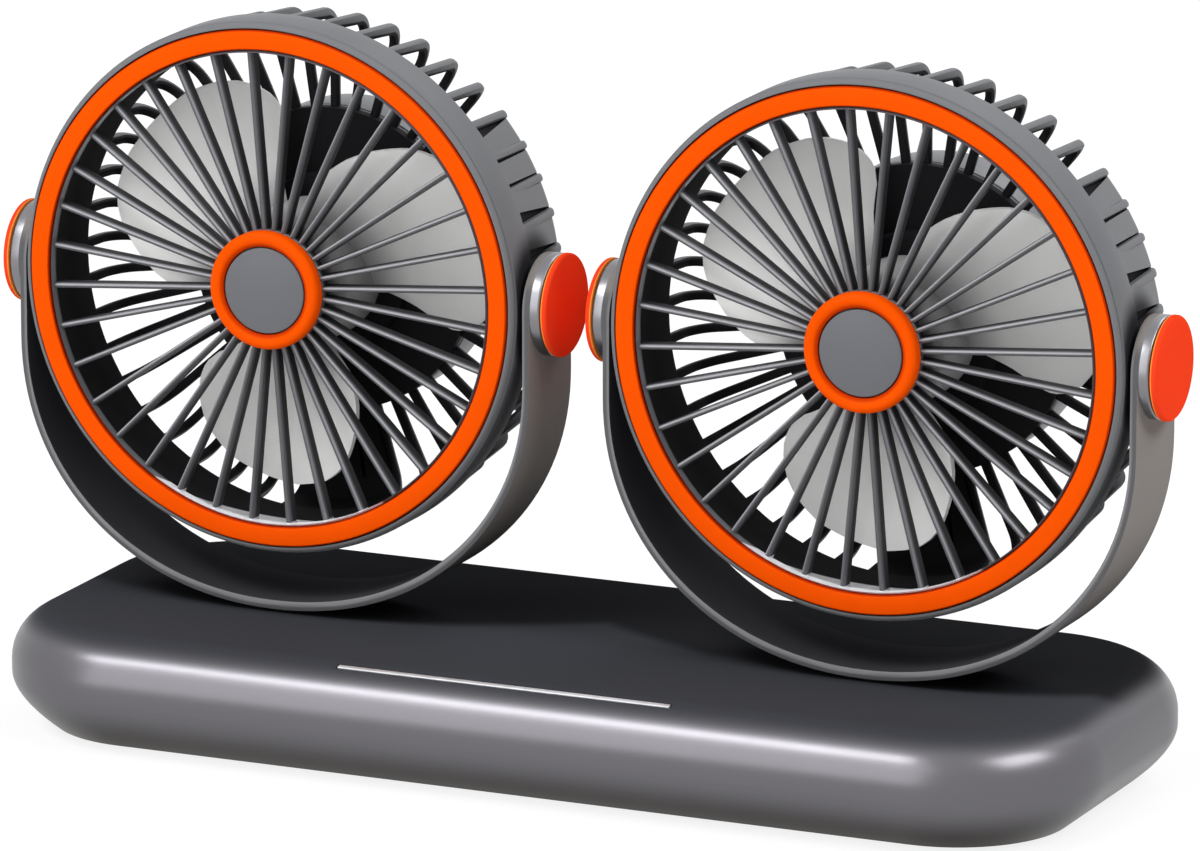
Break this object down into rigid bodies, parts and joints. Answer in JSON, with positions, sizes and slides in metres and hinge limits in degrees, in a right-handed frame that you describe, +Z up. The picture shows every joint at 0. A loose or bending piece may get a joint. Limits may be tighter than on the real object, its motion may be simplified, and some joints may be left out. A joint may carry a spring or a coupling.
{
  "type": "dual head desk fan",
  "caption": "Desk fan with two round heads that tilt in yokes and swivel on one long weighted base, grey and black with orange rings.",
  "frame": {"origin": "on the table under the middle of the base, bottom centre of the box round the fan", "axes": "+X to the right seen from the front and along the base, -Y towards the front, +Z up"},
  "size_m": [0.2708, 0.1036, 0.1565],
  "materials": {
    "grey_plastic": "satin moulded",
    "dark_plastic": "satin gloss",
    "yoke_plastic": "satin moulded",
    "orange_plastic": "smooth",
    "red_plastic": "smooth",
    "blade_plastic": "milky, translucent look",
    "silver_trim": "satin",
    "black_rubber": "matte",
    "steel": "plain",
    "cast_iron": "as cast",
    "circuit_board": "lacquered"
  },
  "bodies": {
    "base": {"base_top_shell": "dark_plastic", "base_bottom_plate": "dark_plastic", "ballast_weight": "cast_iron", "power_board": "circuit_board", "power_inlet": "steel", "trim_strip": "silver_trim", "foot_front_left": "black_rubber", "foot_front_right": "black_rubber", "foot_rear_left": "black_rubber", "foot_rear_right": "black_rubber", "base_screw_front_left": "steel", "base_screw_front_right": "steel", "base_screw_rear_left": "steel", "base_screw_rear_right": "steel", "left_swivel_washer": "dark_plastic", "right_swivel_washer": "dark_plastic"},
    "left_yoke_body": {"left_yoke": "yoke_plastic", "left_outer_pivot_washer": "steel", "left_inner_pivot_washer": "steel", "left_outer_pivot_cap": "red_plastic", "left_inner_pivot_cap": "red_plastic", "left_swivel_nut": "steel", "left_swivel_spring": "steel"},
    "left_head_body": {"left_rear_housing": "grey_plastic", "left_front_grille": "grey_plastic", "left_trim_ring": "orange_plastic", "left_hub_ring": "orange_plastic", "left_rear_cap": "grey_plastic", "left_cap_screw_upper": "steel", "left_cap_screw_lower": "steel", "left_motor": "steel", "left_motor_board": "circuit_board", "left_outer_pivot_screw": "steel", "left_inner_pivot_screw": "steel"},
    "left_rotor_body": {"left_motor_shaft": "steel", "left_impeller": "blade_plastic"},
    "left_button_body": {"left_speed_button": "red_plastic"},
    "right_yoke_body": {"right_yoke": "yoke_plastic", "right_outer_pivot_washer": "steel", "right_inner_pivot_washer": "steel", "right_outer_pivot_cap": "red_plastic", "right_inner_pivot_cap": "red_plastic", "right_swivel_nut": "steel", "right_swivel_spring": "steel"},
    "right_head_body": {"right_rear_housing": "grey_plastic", "right_front_grille": "grey_plastic", "right_trim_ring": "orange_plastic", "right_hub_ring": "orange_plastic", "right_rear_cap": "grey_plastic", "right_cap_screw_upper": "steel", "right_cap_screw_lower": "steel", "right_motor": "steel", "right_motor_board": "circuit_board", "right_outer_pivot_screw": "steel", "right_inner_pivot_screw": "steel"},
    "right_rotor_body": {"right_motor_shaft": "steel", "right_impeller": "blade_plastic"},
    "right_button_body": {"right_speed_button": "red_plastic"}
  },
  "joints": [
    {"name": "left_swivel", "type": "hinge", "parent": "base", "child": "left_yoke_body", "pos_m": [-0.06945, -0.0014, 0.0256], "axis": [0, 0, 1], "range_deg": [-170, 170]},
    {"name": "left_tilt", "type": "hinge", "parent": "left_yoke_body", "child": "left_head_body", "pos_m": [-0.06945, -0.0014, 0.098], "axis": [1, 0, 0], "range_deg": [-90, 90]},
    {"name": "left_impeller_spin", "type": "hinge", "parent": "left_head_body", "child": "left_rotor_body", "pos_m": [-0.06945, -0.0014, 0.098], "axis": [0, -1, 0], "continuous": true},
    {"name": "left_speed_press", "type": "slide", "parent": "left_head_body", "child": "left_button_body", "axis": [0, -1, 0], "range_m": [0, 0.001], "stiffness_N_per_m": 300, "springref_m": -0.002},
    {"name": "right_swivel", "type": "hinge", "parent": "base", "child": "right_yoke_body", "pos_m": [0.06945, -0.0014, 0.0256], "axis": [0, 0, 1], "range_deg": [-170, 170]},
    {"name": "right_tilt", "type": "hinge", "parent": "right_yoke_body", "child": "right_head_body", "pos_m": [0.06945, -0.0014, 0.098], "axis": [1, 0, 0], "range_deg": [-90, 90]},
    {"name": "right_impeller_spin", "type": "hinge", "parent": "right_head_body", "child": "right_rotor_body", "pos_m": [0.06945, -0.0014, 0.098], "axis": [0, -1, 0], "continuous": true},
    {"name": "right_speed_press", "type": "slide", "parent": "right_head_body", "child": "right_button_body", "axis": [0, -1, 0], "range_m": [0, 0.001], "stiffness_N_per_m": 300, "springref_m": -0.002}
  ]
}
